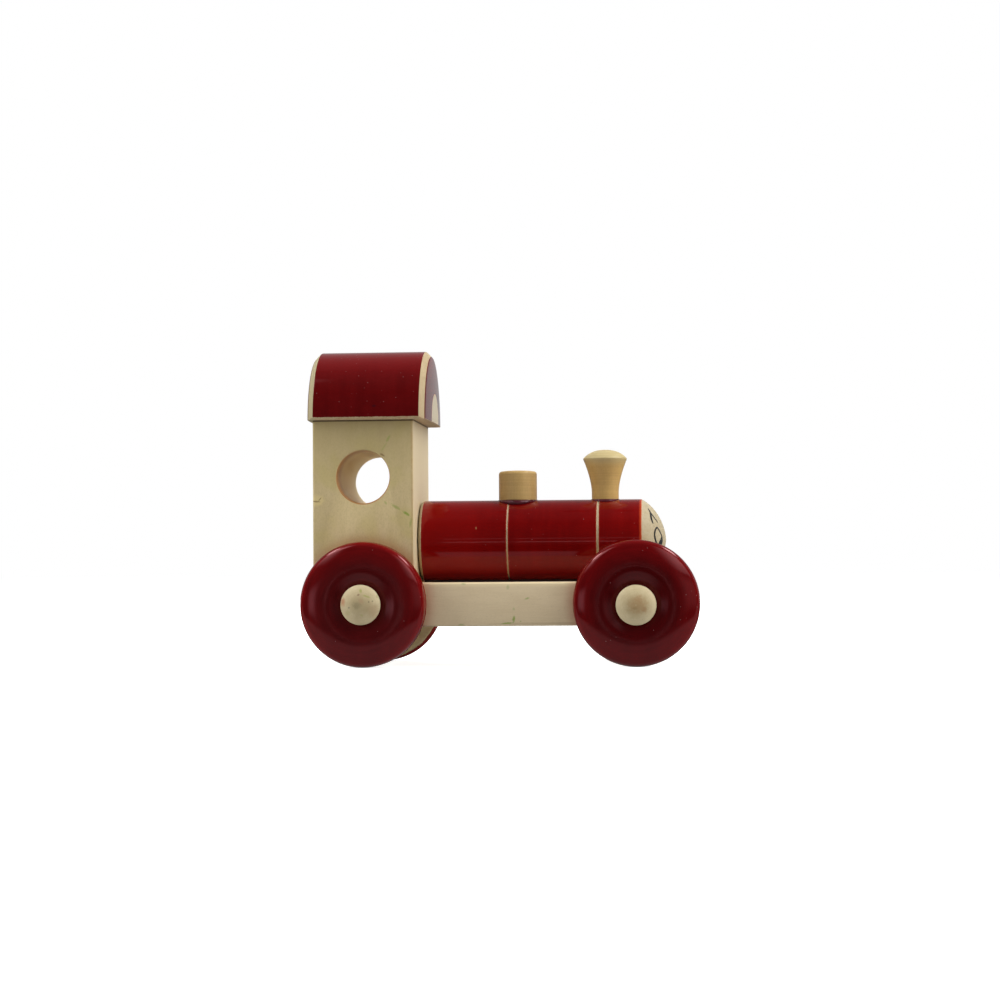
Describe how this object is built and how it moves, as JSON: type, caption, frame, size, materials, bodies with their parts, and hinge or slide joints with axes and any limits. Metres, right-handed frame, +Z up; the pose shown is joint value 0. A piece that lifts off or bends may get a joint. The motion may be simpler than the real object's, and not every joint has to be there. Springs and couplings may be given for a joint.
{
  "type": "toy train locomotive",
  "caption": "Wooden toy train locomotive: a lacquered boiler and arched cab roof on a plank chassis, with disc wheels that spin on pegs.",
  "frame": {"origin": "on the ground, under the middle of the wheelbase and of the overall box", "axes": "+X to the front of the locomotive, +Y to its left side, +Z up"},
  "size_m": [0.1584, 0.082, 0.1283],
  "materials": {
    "plank_wood": "bare wood, sanded and lightly waxed",
    "cab_wood": "bare wood, sanded and lightly waxed",
    "roof_lacquer": "wood with a glossy dark red lacquer",
    "boiler_lacquer": "wood with a glossy red lacquer, bare at the nose and in two thin rings",
    "dome_wood": "bare turned wood, waxed",
    "funnel_wood": "bare turned wood, waxed",
    "wheel_lacquer": "wood with a glossy dark red lacquer, bare on the inner face",
    "peg_wood": "bare turned wood, waxed",
    "dowel_wood": "bare wood, glued"
  },
  "bodies": {
    "locomotive": {"chassis_plank": "plank_wood", "cab_block": "cab_wood", "cab_roof": "roof_lacquer", "boiler": "boiler_lacquer", "steam_dome": "dome_wood", "funnel": "funnel_wood", "peg_front_left": "peg_wood", "peg_front_right": "peg_wood", "peg_rear_left": "peg_wood", "peg_rear_right": "peg_wood", "cab_dowel_front": "dowel_wood", "cab_dowel_rear": "dowel_wood", "roof_dowel_front": "dowel_wood", "roof_dowel_rear": "dowel_wood", "boiler_dowel_front": "dowel_wood", "boiler_dowel_rear": "dowel_wood", "boiler_cab_dowel": "dowel_wood"},
    "front_left_wheel": {"wheel_front_left": "wheel_lacquer"},
    "front_right_wheel": {"wheel_front_right": "wheel_lacquer"},
    "rear_left_wheel": {"wheel_rear_left": "wheel_lacquer"},
    "rear_right_wheel": {"wheel_rear_right": "wheel_lacquer"}
  },
  "joints": [
    {"name": "front_left_spin", "type": "hinge", "parent": "locomotive", "child": "front_left_wheel", "pos_m": [0.0542, 0.027, 0.025], "axis": [0, 1, 0], "continuous": true},
    {"name": "front_right_spin", "type": "hinge", "parent": "locomotive", "child": "front_right_wheel", "pos_m": [0.0542, -0.027, 0.025], "axis": [0, 1, 0], "continuous": true},
    {"name": "rear_left_spin", "type": "hinge", "parent": "locomotive", "child": "rear_left_wheel", "pos_m": [-0.0542, 0.027, 0.025], "axis": [0, 1, 0], "continuous": true},
    {"name": "rear_right_spin", "type": "hinge", "parent": "locomotive", "child": "rear_right_wheel", "pos_m": [-0.0542, -0.027, 0.025], "axis": [0, 1, 0], "continuous": true}
  ]
}
